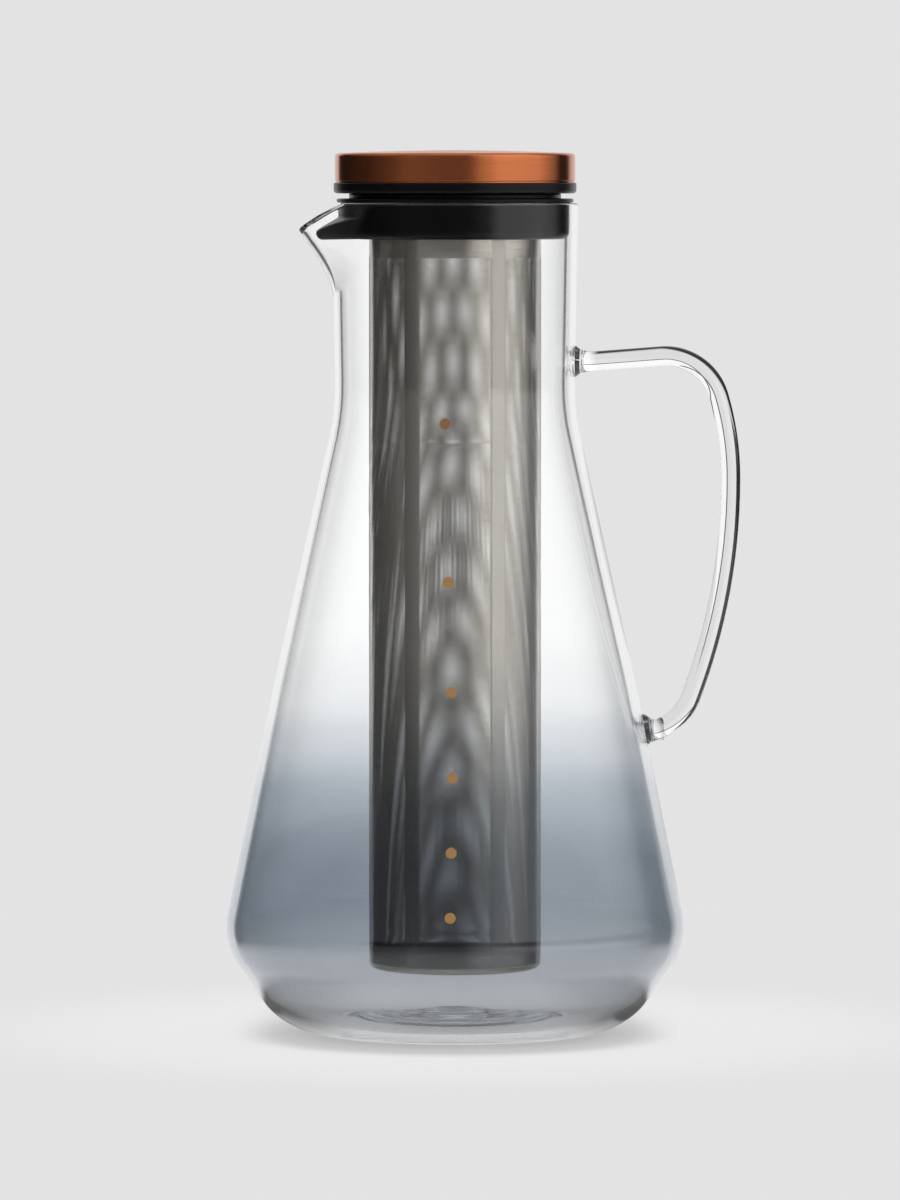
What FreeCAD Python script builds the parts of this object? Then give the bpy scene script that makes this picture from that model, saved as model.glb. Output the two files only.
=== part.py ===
import FreeCAD, Part
import math
import os

# Cold brew carafe: a flared glass jug with a drawn spout and a fused rod handle,
# a hanging steel mesh filter in a soft neck collar, and a plug lid with a metal cap.
# Millimetres, +Z up. The origin is on the carafe's axis, in the plane it stands on.
# The handle points to +X, the spout to -X and the level dots to -Y.

# ---- glass body: outer wall corners, as radius and height, each with its rounding
foot_radius = 53.8
foot_rounding = 18.0
shoulder_radius = 71.65
shoulder_height = 27.5
shoulder_rounding = 21.8
waist_radius = 55.3
waist_height = 107.5
waist_rounding = 2500.0
neck_radius = 36.55
neck_height = 191.0
neck_rounding = 70.0
rim_radius = 37.6
rim_height = 254.0
glass_wall = 2.3
rim_edge_rounding = 1.0

# ---- glass base: the ring it stands on, the hollow inside the ring and the floor over both
ring_radius = 40.5
hollow_radius = 33.0
hollow_height = 1.4
hollow_dome_rise = 1.4
floor_wall = 2.6

# ---- spout, drawn out of the rim towards -X
spout_reach = 50.2
spout_tip_drop = 5.5
spout_length = 24.5
spout_nose_radius = 6.5
spout_root_radius = 28.0
spout_flare_power = 1.65
spout_nose_power = 0.7
spout_overlap = 0.6
spout_sections = 7
spout_lip_start = 34.5
spout_lip_angle = 21.5

# ---- handle: a round rod bent in one plane and fused to neck and body
rod_diameter = 6.1
handle_over_neck = 14.6
handle_under_waist = 15.0
handle_reach = 84.3
handle_crown_reach = 76.8
handle_crown_rise = 2.6
handle_crown_rounding = 17.9
handle_grip_drop = 23.0
handle_grip_rounding = 88.0
handle_bow_rise = 43.4
handle_bow_rounding = 187.0
handle_heel_reach = 68.6
handle_heel_rise = 0.4
handle_heel_rounding = 17.0
weld_diameter = 11.0
weld_length = 5.5
weld_throat_diameter = 7.4
weld_throat_place = 1.8

# ---- level dots fired on the front of the glass: height and sideways offset
dot_diameter = 3.3
dot_thickness = 0.12
dot_places = [
    (40.8, -1.5),
    (60.0, -1.2),
    (82.1, -0.9),
    (107.6, -1.2),
    (140.3, -2.1),
    (187.6, -3.1),
]

# ---- neck collar: a soft plug in the neck that hangs the filter and takes the lid
collar_depth = 11.0
collar_clearance = 0.15
collar_bottom_rounding = 2.4
collar_flange_inset = 1.4
collar_flange_thickness = 1.2
collar_flange_rounding = 0.4
collar_lip_wall = 1.9
collar_lip_height = 1.5
collar_bore_radius = 30.5
collar_web_thickness = 3.0
seat_gap = 0.1

# ---- tongue of the collar, which reaches into the spout and closes it
tongue_reach = 42.0
tongue_lean = 0.4
tongue_side_height = 3.3
tongue_rise = 7.4
tongue_rounding = 5.0
tongue_edge_rounding = 1.2
tongue_clearance = 1.0

# ---- filter: rolled perforated sheet, a rim that hangs it and a pressed base
filter_radius = 26.3
filter_sheet = 0.4
filter_bottom = 18.8
filter_grip = 0.05
rim_flange_clearance = 0.4
rim_flange_thickness = 1.0
rim_sleeve_thickness = 0.6
rim_sleeve_length = 7.5
base_cap_height = 2.3
base_cap_rounding = 2.1
base_cap_sheet = 0.6
base_cap_spigot = 3.0
field_count = 6
field_bottom_margin = 3.6
field_top = 237.7
field_depth = 0.08
strip_width = 4.4

# ---- lid: metal cap over a black core, with a gasket and a plug that carries two seals
cap_radius = 36.8
cap_height = 10.0
cap_crown = 0.9
cap_edge_rounding = 1.2
cap_sheet = 0.6
hem_height = 0.5
hem_depth = 0.25
gasket_overhang = 0.3
gasket_thickness = 3.2
gasket_rounding = 1.0
gasket_bore_clearance = 1.3
plug_clearance = 0.9
plug_wall = 2.2
plug_above_filter = 0.6
core_clearance = 0.05
seal_clearance = 0.1
seal_width = 1.6
seal_taper = 0.4
seal_groove_depth = 0.8
seal_lower_rise = 1.6
seal_spacing = 3.4
liner_thickness = 1.4
liner_recess = 0.4

# ---- places that follow from the sizes above
rod_radius = rod_diameter / 2
collar_flange_radius = rim_radius - collar_flange_inset
collar_lip_radius = collar_bore_radius + collar_lip_wall
rim_flange_radius = collar_bore_radius - rim_flange_clearance
plug_radius = collar_bore_radius - plug_clearance
seal_radius = collar_bore_radius - seal_clearance
gasket_radius = cap_radius + gasket_overhang
gasket_bore_radius = plug_radius + gasket_bore_clearance
handle_upper_height = neck_height + handle_over_neck
handle_lower_height = waist_height - handle_under_waist
collar_bottom = rim_height - collar_depth
collar_flange_bottom = rim_height + seat_gap
collar_flange_top = collar_flange_bottom + collar_flange_thickness
collar_lip_top = collar_flange_top + collar_lip_height
web_top = collar_bottom + collar_web_thickness
screen_inner_radius = filter_radius - filter_sheet
screen_bottom = filter_bottom + base_cap_height
rim_flange_top = web_top + rim_flange_thickness
gasket_bottom = collar_lip_top + seat_gap
cap_bottom = gasket_bottom + gasket_thickness
cap_top = cap_bottom + cap_height
core_radius = cap_radius - cap_sheet - core_clearance
plug_bottom = rim_flange_top + plug_above_filter
seal_groove_radius = plug_radius - seal_groove_depth
seal_lower_height = plug_bottom + seal_lower_rise
seal_upper_height = seal_lower_height + seal_spacing

# ---- drawing: the share of a side that its arcs may use, when two points count as one,
# and the direction in which a full turn starts and ends
arc_room = 0.96
same_point = 1e-6
seam_angle = 90.0

AXIS = FreeCAD.Vector(0, 0, 1)
CENTRE = FreeCAD.Vector(0, 0, 0)


# ---- drawing helpers
def rounded_edges(corners, closed):
    """Edges through (x, z, rounding) corners in the XZ plane, with an arc at each rounded one.

    An arc is no larger than the two sides it joins have room for.
    """
    count = len(corners)
    points = [FreeCAD.Vector(x, 0, z) for x, z, rounding in corners]

    def room(index, neighbour):
        """How much of the side between two corners the rounding of the first may use."""
        share = 0.5 if corners[neighbour][2] else 1.0
        return arc_room * share * points[index].distanceToPoint(points[neighbour])

    entries = []
    for index in range(count):
        here = points[index]
        rounding = corners[index][2]
        if rounding == 0:
            entries.append((here, None, here))
            continue
        following = (index + 1) % count
        back = (points[index - 1] - here).normalize()
        ahead = (points[following] - here).normalize()
        half_turn = (math.pi - back.getAngle(ahead)) / 2
        tangent = min(
            rounding * math.tan(half_turn),
            room(index, (index - 1) % count),
            room(index, following),
        )
        fitted = tangent / math.tan(half_turn)
        bisector = (back + ahead).normalize()
        depth = fitted / math.cos(half_turn) - fitted
        entries.append((here + back * tangent, here + bisector * depth, here + ahead * tangent))
    edges = []
    last = count if closed else count - 1
    for index in range(count):
        start, middle, end = entries[index]
        if middle is not None:
            edges.append(Part.Arc(start, middle, end).toShape())
        if index < last:
            following = entries[(index + 1) % count][0]
            if end.distanceToPoint(following) > same_point:
                edges.append(Part.LineSegment(end, following).toShape())
    return edges


def turned(corners, angle=360.0, start=seam_angle):
    """Solid of revolution about +Z from a closed outline of (radius, height, rounding).

    A full turn starts at +Y, so that its seam lies clear of handle, spout and dots.
    """
    outline = Part.Wire(rounded_edges(corners, True))
    solid = Part.Face(outline).revolve(CENTRE, AXIS, angle)
    solid.rotate(CENTRE, AXIS, start)
    return solid


def parallel(corners, distance):
    """The open outline moved sideways by distance, inwards when positive, roundings to suit."""
    moved = []
    lines = []
    for (x0, z0, _), (x1, z1, _) in zip(corners, corners[1:]):
        length = math.hypot(x1 - x0, z1 - z0)
        across_x = -(z1 - z0) / length * distance
        across_z = (x1 - x0) / length * distance
        lines.append((x0 + across_x, z0 + across_z, x1 - x0, z1 - z0))
    moved.append((lines[0][0], lines[0][1], 0))
    for (ax, az, adx, adz), (bx, bz, bdx, bdz), corner in zip(lines, lines[1:], corners[1:]):
        cross = adx * bdz - adz * bdx
        along = ((bx - ax) * bdz - (bz - az) * bdx) / cross
        turn = math.copysign(1, cross)
        moved.append((ax + adx * along, az + adz * along, corner[2] - turn * distance))
    ax, az, adx, adz = lines[-1]
    moved.append((ax + adx, az + adz, 0))
    return moved


def radius_at(corners, height):
    """Radius of the sloping outline at a height, between its corners."""
    for (x0, z0, _), (x1, z1, _) in zip(corners, corners[1:]):
        if z0 <= height <= z1:
            return x0 + (x1 - x0) * (height - z0) / (z1 - z0)
    return corners[-1][0]


# ---- carafe
wall_corners = [
    (foot_radius, 0, foot_rounding),
    (shoulder_radius, shoulder_height, shoulder_rounding),
    (waist_radius, waist_height, waist_rounding),
    (neck_radius, neck_height, neck_rounding),
    (rim_radius, rim_height, 0),
]
bore_corners = parallel(wall_corners, glass_wall)


def base_corners(rise):
    """The hollow base from the axis out to the ring it stands on, moved up by rise."""
    return [
        (0, hollow_height + hollow_dome_rise + rise, 0),
        (hollow_radius, hollow_height + rise, 0),
        (ring_radius, rise, 0),
    ]


def glass_outside(swell=0.0):
    """The jug as a full solid, without its spout; swell makes it larger all round."""
    side = parallel(wall_corners, -swell) if swell else wall_corners
    foot = (side[0][0], 0, foot_rounding)
    top = (side[-1][0], rim_height, 0 if swell else rim_edge_rounding)
    return turned(base_corners(0) + [foot] + side[1:-1] + [top, (0, rim_height, 0)])


def glass_inside():
    """The space in the jug, open past the rim."""
    over_rim = rim_height + glass_wall
    foot = (radius_at(bore_corners[:2], floor_wall), floor_wall, foot_rounding - glass_wall)
    rim = (bore_corners[-1][0], rim_height, 0)
    over = [(rim[0], over_rim, 0), (0, over_rim, 0)]
    return turned(base_corners(floor_wall) + [foot] + bore_corners[1:-1] + [rim] + over)


def spout_section(height, big_radius, reach, nose_radius):
    """Flat outline that wraps the neck circle and a smaller nose circle on the -X side."""
    nose_centre = reach - nose_radius
    lean = math.acos((big_radius - nose_radius) / nose_centre)
    cos_lean = math.cos(lean)
    sin_lean = math.sin(lean)
    big_upper = FreeCAD.Vector(-big_radius * cos_lean, big_radius * sin_lean, height)
    big_lower = FreeCAD.Vector(big_upper.x, -big_upper.y, height)
    nose_x = -nose_centre - nose_radius * cos_lean
    nose_upper = FreeCAD.Vector(nose_x, nose_radius * sin_lean, height)
    nose_lower = FreeCAD.Vector(nose_x, -nose_upper.y, height)
    back = FreeCAD.Vector(big_radius, 0, height)
    tip = FreeCAD.Vector(-reach, 0, height)
    return Part.Wire([
        Part.Arc(big_lower, back, big_upper).toShape(),
        Part.LineSegment(big_upper, nose_upper).toShape(),
        Part.Arc(nose_upper, tip, nose_lower).toShape(),
        Part.LineSegment(nose_lower, big_lower).toShape(),
    ])


def spout_solid(inset, top):
    """Body of the spout up to a height, smaller all round by inset; it starts inside the wall."""
    start = rim_height - spout_tip_drop - spout_length
    sections = []
    for index in range(spout_sections):
        height = start + (top - start) * index / (spout_sections - 1)
        rise = (height - start) / spout_length
        neck = radius_at(wall_corners, height) - spout_overlap
        root = neck + spout_overlap / 2
        reach = root + (spout_reach - root) * rise ** spout_flare_power
        sharpening = min(rise, 1) ** spout_nose_power
        nose = spout_root_radius + (spout_nose_radius - spout_root_radius) * sharpening
        sections.append(spout_section(height, neck - inset, reach - inset, nose - inset))
    return Part.makeLoft(sections, True)


def build_carafe_body():
    """Blown glass jug with its spout; the lip of the spout slopes down towards its tip."""
    body = glass_outside().fuse(spout_solid(0, rim_height))
    body = body.cut(glass_inside())
    body = body.cut(spout_solid(glass_wall, rim_height + glass_wall))
    lip_cutter = Part.makeBox(
        spout_reach,
        2 * spout_reach,
        spout_reach,
        FreeCAD.Vector(-spout_reach, -spout_reach, 0),
    )
    lip_cutter.rotate(CENTRE, FreeCAD.Vector(0, 1, 0), -spout_lip_angle)
    lip_cutter.translate(FreeCAD.Vector(-spout_lip_start, 0, rim_height))
    return body.cut(lip_cutter).removeSplitter()


def weld_flare(place, direction):
    """Trumpet of melted glass around an end of the rod, widening towards the jug."""
    base = weld_diameter / 2
    outline = [
        (0, -weld_length, 0),
        (base, -weld_length, 0),
        (base, 0, 0),
        (weld_throat_diameter / 2, weld_throat_place, weld_throat_place),
        (rod_radius, weld_length, 0),
        (0, weld_length, 0),
    ]
    flare = turned(outline)
    flare.Placement = FreeCAD.Placement(place, FreeCAD.Rotation(AXIS, direction))
    return flare


def build_carafe_handle():
    """Bent glass rod, run into the wall at both ends and cut back to the jug's surface."""
    upper = radius_at(wall_corners, handle_upper_height)
    lower = radius_at(wall_corners, handle_lower_height)
    path_corners = [
        (upper - weld_length, handle_upper_height, 0),
        (handle_crown_reach, handle_upper_height + handle_crown_rise, handle_crown_rounding),
        (handle_reach, handle_upper_height - handle_grip_drop, handle_grip_rounding),
        (handle_reach, handle_lower_height + handle_bow_rise, handle_bow_rounding),
        (handle_heel_reach, handle_lower_height + handle_heel_rise, handle_heel_rounding),
        (lower - weld_length, handle_lower_height, 0),
    ]
    path = Part.Wire(rounded_edges(path_corners, False))
    start = FreeCAD.Vector(path_corners[0][0], 0, path_corners[0][1])
    start_direction = FreeCAD.Vector(
        path_corners[1][0] - path_corners[0][0],
        0,
        path_corners[1][1] - path_corners[0][1],
    )
    section = Part.Wire(Part.makeCircle(rod_radius, start, start_direction))
    rod = path.makePipeShell([section], True, False)
    end_direction = FreeCAD.Vector(
        path_corners[-2][0] - path_corners[-1][0],
        0,
        path_corners[-2][1] - path_corners[-1][1],
    )
    upper_flare = weld_flare(FreeCAD.Vector(upper, 0, handle_upper_height), start_direction)
    lower_flare = weld_flare(FreeCAD.Vector(lower, 0, handle_lower_height), end_direction)
    handle = rod.fuse([upper_flare, lower_flare])
    return handle.cut(glass_outside()).removeSplitter()


def build_level_dot(height, offset):
    """Thin round of enamel that follows the glass."""
    reach = shoulder_radius + glass_wall
    marker = Part.makeCylinder(
        dot_diameter / 2,
        reach,
        FreeCAD.Vector(offset, 0, height),
        FreeCAD.Vector(0, -1, 0),
    )
    return marker.common(glass_outside(dot_thickness)).cut(glass_outside())


# ---- filter
def build_neck_collar():
    """Soft collar: a flange on the rim, a plug in the neck, a lip, a web and a spout tongue."""
    narrowest = min(radius_at(bore_corners, collar_bottom), bore_corners[-1][0])
    neck_fit = narrowest - collar_clearance
    ring = turned([
        (filter_radius + filter_grip, collar_bottom, 0),
        (neck_fit, collar_bottom, collar_bottom_rounding),
        (neck_fit, collar_flange_bottom, 0),
        (collar_flange_radius, collar_flange_bottom, collar_flange_rounding),
        (collar_flange_radius, collar_flange_top, collar_flange_rounding),
        (collar_lip_radius, collar_flange_top, 0),
        (collar_lip_radius, collar_lip_top, 0),
        (collar_bore_radius, collar_lip_top, 0),
        (collar_bore_radius, web_top, 0),
        (filter_radius + filter_grip, web_top, 0),
    ])
    tongue_top = collar_bottom + tongue_rise
    tongue = turned([
        (collar_lip_radius, collar_bottom, 0),
        (tongue_reach, collar_bottom, tongue_edge_rounding),
        (tongue_reach - tongue_lean, collar_bottom + tongue_side_height, tongue_rounding),
        (neck_fit, tongue_top, 0),
        (collar_lip_radius, tongue_top, 0),
    ])
    tongue = tongue.common(spout_solid(glass_wall + tongue_clearance, rim_height))
    return ring.fuse(tongue).removeSplitter()


def build_filter_rim():
    """Steel ring that sits on the collar's web, with a sleeve down inside the screen."""
    sleeve_bottom = web_top - rim_sleeve_length
    sleeve_inner = screen_inner_radius - rim_sleeve_thickness
    return turned([
        (sleeve_inner, sleeve_bottom, 0),
        (screen_inner_radius, sleeve_bottom, 0),
        (screen_inner_radius, web_top, 0),
        (rim_flange_radius, web_top, 0),
        (rim_flange_radius, rim_flange_top, 0),
        (sleeve_inner, rim_flange_top, rim_sleeve_thickness),
    ])


def build_filter_screen():
    """Rolled sheet with sunk perforated fields between upright strips."""
    screen = turned([
        (screen_inner_radius, screen_bottom, 0),
        (filter_radius, screen_bottom, 0),
        (filter_radius, web_top, 0),
        (screen_inner_radius, web_top, 0),
    ])
    field_bottom = screen_bottom + field_bottom_margin
    strip_angle = math.degrees(strip_width / filter_radius)
    field_angle = 360.0 / field_count - strip_angle
    field = turned([
        (filter_radius - field_depth, field_bottom, 0),
        (filter_radius + field_depth, field_bottom, 0),
        (filter_radius + field_depth, field_top, 0),
        (filter_radius - field_depth, field_top, 0),
    ], field_angle, strip_angle / 2)
    for index in range(field_count):
        cutter = field.copy()
        cutter.rotate(CENTRE, AXIS, index * 360.0 / field_count)
        screen = screen.cut(cutter)
    return screen


def build_filter_base_cap():
    """Pressed cup that closes the screen, flush outside and with a spigot inside it."""
    spigot_top = screen_bottom + base_cap_spigot
    inner = screen_inner_radius - base_cap_sheet
    return turned([
        (0, filter_bottom, 0),
        (filter_radius, filter_bottom, base_cap_rounding),
        (filter_radius, screen_bottom, 0),
        (screen_inner_radius, screen_bottom, 0),
        (screen_inner_radius, spigot_top, 0),
        (inner, spigot_top, 0),
        (inner, filter_bottom + base_cap_sheet, base_cap_rounding - base_cap_sheet),
        (0, filter_bottom + base_cap_sheet, 0),
    ])


# ---- lid
def build_lid_cap():
    """Drawn metal cap with a crowned top, a rounded edge and a rolled hem at its foot."""
    inside = cap_radius - cap_sheet
    return turned([
        (0, cap_top, 0),
        (cap_radius, cap_top - cap_crown, cap_edge_rounding),
        (cap_radius, cap_bottom + hem_height, 0),
        (cap_radius - hem_depth, cap_bottom + hem_height, 0),
        (cap_radius - hem_depth, cap_bottom, 0),
        (inside, cap_bottom, 0),
        (inside, cap_top - cap_crown - cap_sheet, cap_edge_rounding - cap_sheet),
        (0, cap_top - cap_sheet, 0),
    ])


def build_lid_core():
    """Moulded core: a disc inside the cap and a hollow plug grooved for two seals."""
    plug_inner = plug_radius - plug_wall
    disc_top = cap_top - cap_crown - cap_sheet - core_clearance
    outline = [(0, disc_top, 0), (core_radius, disc_top, cap_edge_rounding - cap_sheet)]
    outline += [(core_radius, cap_bottom, 0), (plug_radius, cap_bottom, 0)]
    for groove in (seal_upper_height, seal_lower_height):
        outline += [
            (plug_radius, groove + seal_width, 0),
            (seal_groove_radius, groove + seal_width, 0),
            (seal_groove_radius, groove, 0),
            (plug_radius, groove, 0),
        ]
    outline += [
        (plug_radius, plug_bottom, 0),
        (plug_inner, plug_bottom, 0),
        (plug_inner, cap_bottom, 0),
        (0, cap_bottom, 0),
    ]
    return turned(outline)


def build_lid_gasket():
    """Flat black ring under the cap, rounded below, that rests on the collar's lip."""
    return turned([
        (gasket_bore_radius, gasket_bottom, 0),
        (gasket_radius, gasket_bottom, gasket_rounding),
        (gasket_radius, cap_bottom, 0),
        (gasket_bore_radius, cap_bottom, 0),
    ])


def build_lid_seal(height):
    """Soft ring in a groove of the plug, tapered towards the bore that it wipes."""
    return turned([
        (seal_groove_radius, height, 0),
        (plug_radius, height, 0),
        (seal_radius, height + seal_taper, 0),
        (seal_radius, height + seal_width - seal_taper, 0),
        (plug_radius, height + seal_width, 0),
        (seal_groove_radius, height + seal_width, 0),
    ])


def build_lid_liner():
    """Disc that closes the hollow plug from below."""
    bottom = plug_bottom + liner_recess
    return Part.makeCylinder(
        plug_radius - plug_wall - core_clearance,
        liner_thickness,
        FreeCAD.Vector(0, 0, bottom),
    )


nodes = {
    "carafe_body": build_carafe_body(),
    "carafe_handle": build_carafe_handle(),
    "neck_collar": build_neck_collar(),
    "filter_rim": build_filter_rim(),
    "filter_screen": build_filter_screen(),
    "filter_base_cap": build_filter_base_cap(),
    "lid_cap": build_lid_cap(),
    "lid_core": build_lid_core(),
    "lid_gasket": build_lid_gasket(),
    "lid_seal_upper": build_lid_seal(seal_upper_height),
    "lid_seal_lower": build_lid_seal(seal_lower_height),
    "lid_liner": build_lid_liner(),
}
for number, (dot_height, dot_offset) in enumerate(dot_places, start=1):
    nodes["level_dot_%d" % number] = build_level_dot(dot_height, dot_offset)

os.makedirs("parts", exist_ok=True)
for name, shape in nodes.items():
    shape.exportStep("parts/%s.step" % name)
    box = shape.BoundBox
    print("%-16s solids %d  valid %s  volume %9.1f mm3  z %.2f to %.2f  x %.2f to %.2f" % (
        name, len(shape.Solids), shape.isValid(), shape.Volume, box.ZMin, box.ZMax, box.XMin, box.XMax))
print("filter lift needed to clear the rim: %.1f mm" % (rim_height - filter_bottom))
print("lid lift needed to clear the collar: %.1f mm" % (collar_lip_top - plug_bottom))
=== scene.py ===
# %% [markdown]
# # A glass cold brew jug
#
# This lesson dresses a glass jug with a rod handle, a hanging steel filter and a plug lid
# with a copper-coloured cap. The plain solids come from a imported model, which stays as it
# is. Each visible piece is modelled again over its solid, with rounded edges and a finish
# of its own, and rides on the body that carries it.
#
# Sizes are written in millimetres, as a drawing has them, and turned into metres where an
# operator needs them.

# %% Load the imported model
import math

import bpy
from mathutils import Matrix, Vector


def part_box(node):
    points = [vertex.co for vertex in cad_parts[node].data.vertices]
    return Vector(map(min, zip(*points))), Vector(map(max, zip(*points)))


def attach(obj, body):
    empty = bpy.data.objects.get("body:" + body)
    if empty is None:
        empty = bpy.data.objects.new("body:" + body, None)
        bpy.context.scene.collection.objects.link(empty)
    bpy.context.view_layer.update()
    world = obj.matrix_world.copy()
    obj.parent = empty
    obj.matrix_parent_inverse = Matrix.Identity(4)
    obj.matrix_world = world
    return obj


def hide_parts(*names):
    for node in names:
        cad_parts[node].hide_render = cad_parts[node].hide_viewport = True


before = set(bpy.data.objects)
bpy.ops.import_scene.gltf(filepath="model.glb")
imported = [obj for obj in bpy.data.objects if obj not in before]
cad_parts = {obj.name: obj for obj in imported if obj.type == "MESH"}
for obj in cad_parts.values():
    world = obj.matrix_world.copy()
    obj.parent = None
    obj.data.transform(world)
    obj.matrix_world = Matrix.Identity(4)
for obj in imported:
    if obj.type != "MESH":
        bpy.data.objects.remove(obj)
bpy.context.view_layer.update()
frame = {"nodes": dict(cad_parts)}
MM = 0.001

# %% [markdown]
# ## The camera
#
# A product like this is pictured from far away through a long lens, so that its sides stay
# nearly parallel. The camera stands 2.6 m in front of the jug at the height of its lid and
# looks down by about three degrees, which just opens the ellipse of the base.

# %% Place the camera
camera_place = Vector((-1.54, -2630.0, 267.8)) * MM
camera_tilt_down = 2.945
camera_lens = 258.0

bpy.ops.object.camera_add(location=camera_place)
camera = bpy.context.object
camera.name = "camera"
camera.rotation_euler = (math.radians(90 - camera_tilt_down), 0, 0)
camera.data.lens = camera_lens
camera.data.sensor_width = 36.0
camera.data.clip_end = 20.0
bpy.context.scene.camera = camera
bpy.context.scene.view_settings.view_transform = "Standard"
print("camera:", camera.location[:], "lens", camera.data.lens)

# %% [markdown]
# ## Building shaders in code
#
# Every finish below is a small node tree. A few helpers keep that readable: they add a node
# with its settings, run a link, calculate, fade, blend and mix. A number goes straight onto
# the socket, and only what changes over the surface arrives through a link.

# %% Helpers that add nodes
def mm(*lengths):
    """Lengths in metres, from millimetres."""
    return [length * MM for length in lengths]


def grey(level):
    """A neutral colour of that level."""
    return (level, level, level)


def add_node(tree, kind, values=None, **settings):
    """Adds a shader node, sets its options by name and its free sockets by name or number."""
    node = tree.nodes.new("ShaderNode" + kind)
    for option, setting in settings.items():
        setattr(node, option, setting)
    for socket, value in (values or {}).items():
        node.inputs[socket].default_value = value
    return node


def link(source, target):
    """Runs a link from an output to an input, in the tree that holds both."""
    target.id_data.links.new(source, target)


def tree_of(*operands):
    """The node tree of the first operand that is an output."""
    return next(operand.id_data for operand in operands if hasattr(operand, "id_data"))


def feed(socket, operand):
    """Sets a socket to a number or a colour, or links another node's output to it."""
    if isinstance(operand, (int, float)):
        socket.default_value = operand
    elif isinstance(operand, tuple):
        socket.default_value = (*operand, 1.0)
    else:
        link(operand, socket)


print("node helpers ready, 1 mm is", mm(1)[0], "m")

# %% Helpers that calculate and mix
def calculate(operation, *operands):
    """A Math node; each operand is a number or the output of another node."""
    node = add_node(tree_of(*operands), "Math", operation=operation)
    for socket, operand in zip(node.inputs, operands):
        feed(socket, operand)
    return node.outputs[0]


def fade(value, start, end, low=0.0, high=1.0):
    """A smooth step: low up to start, high past end."""
    node = add_node(tree_of(value), "MapRange", {
        "From Min": start, "From Max": end, "To Min": low, "To Max": high,
    }, interpolation_type="SMOOTHSTEP")
    link(value, node.inputs["Value"])
    return node.outputs["Result"]


def colour_ramp(value, stops, interpolation="LINEAR"):
    """A Color Ramp with (position, colour) stops."""
    node = add_node(tree_of(value), "ValToRGB")
    ramp = node.color_ramp
    ramp.interpolation = interpolation
    while len(ramp.elements) < len(stops):
        ramp.elements.new(1.0)
    for element, (position, colour) in zip(ramp.elements, stops):
        element.position = position
        element.color = (*colour, 1.0)
    link(value, node.inputs["Fac"])
    return node.outputs["Color"]


def blend_colours(share, first, second, blend_type="MIX"):
    """Mix of two colours; each is a colour or the output of another node."""
    tree = tree_of(share, first, second)
    node = add_node(tree, "Mix", data_type="RGBA", blend_type=blend_type)
    feed(node.inputs["Factor"], share)
    feed(node.inputs[6], first)
    feed(node.inputs[7], second)
    return node.outputs[2]


def mix_shaders(share, first, second):
    """A Mix Shader between two shader nodes."""
    mixed = add_node(tree_of(share), "MixShader")
    for socket, source in zip(mixed.inputs, (share, first.outputs[0], second.outputs[0])):
        link(source, socket)
    return mixed


def split_place(tree, kind="Object"):
    """A Texture Coordinate node and a node with the X, Y and Z of one of its outputs."""
    place = add_node(tree, "TexCoord")
    axes = add_node(tree, "SeparateXYZ")
    link(place.outputs[kind], axes.inputs[0])
    return place, axes


print("mixing helpers ready, a middle grey is", grey(0.5))

# %% [markdown]
# ## The studio
#
# Glass and metal show what stands around them, so the studio is part of their look. It is
# drawn in the world by compass direction, as two rings of walls. Metal and the skin of the
# glass mirror the first ring: a large soft window on the right, a dim front, a dark wall on
# the left and a bright sheet behind, with a dark gap between window and sheet. What glass
# bends aside is the second ring: a bright sheet behind the jug that ends in the dark on the
# left and, past a thin gap, in a brighter window on the right. Those two edges draw the
# fine dark lines inside glass.
#
# Each ring is a Color Ramp around the compass. A ramp holds colours up to 1, so the levels
# are divided by the brightest one and multiplied by it again behind the ramp.

# %% Write the world
page_grey = 0.77
brightest = 1.4
mirrored_by_azimuth = [
    (-180, 0.8), (-149, 0.8), (-147.4, 0.04), (-120, 0.03), (-93, 0.06), (-63, 0.18),
    (-46, 0.31), (-14, 0.23), (9, 0.23), (15, 0.28), (27, 0.9), (44, 1.3), (88, 1.25),
    (103, 0.75), (112, 0.45), (120, 0.03), (138, 0.06), (146, 0.8), (180, 0.8),
]
bent_by_azimuth = [
    (-180, 1.08), (-158, 1.08), (-156, 0.02), (-92, 0.02), (-84, 0.4), (84, 0.4), (92, 1.35),
    (162.5, 1.35), (164, 0.05), (166.5, 0.05), (168, 1.03), (180, 1.03),
]

world = bpy.data.worlds.new("studio")
bpy.context.scene.world = world
world.use_nodes = True
world.cycles.sampling_method = "NONE"
tree = world.node_tree
tree.nodes.clear()
_, axes = split_place(tree, "Generated")
towards_camera = calculate("MULTIPLY", axes.outputs["Y"], -1)
azimuth = calculate("ARCTAN2", axes.outputs["X"], towards_camera)
turn = calculate("MULTIPLY_ADD", azimuth, 0.5 / math.pi, 0.5)


def ring_of_walls(levels):
    """Grey level by compass direction, from (degrees, level) stops; 0 faces the camera."""
    stops = [((angle + 180) / 360, grey(level / brightest)) for angle, level in levels]
    ring = colour_ramp(turn, stops)
    return blend_colours(1.0, ring, grey(brightest), "MULTIPLY")


mirrored = ring_of_walls(mirrored_by_azimuth)
bent = ring_of_walls(bent_by_azimuth)
print("studio drawn with", len(mirrored_by_azimuth) + len(bent_by_azimuth), "stops")

# %% [markdown]
# ## Floor, horizon and ceiling
#
# A studio's walls aren't equally bright from floor to ceiling. The mirrored ring is dimmer
# in a band at the horizon, most of all on the left, but the sheet behind stays bright. Its
# side walls are lighter high up, its left wall is dark low down, and plain light closes it
# above and below. The bent ring has a thin grey gap above its sheet and window and bright
# light over that, and below the horizon it turns into white paper.
#
# Heights are those of the ray's direction, from -1 straight down to 1 straight up.
# Azimuths are in radians. Each pair is the start and the end of one soft edge.

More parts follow.
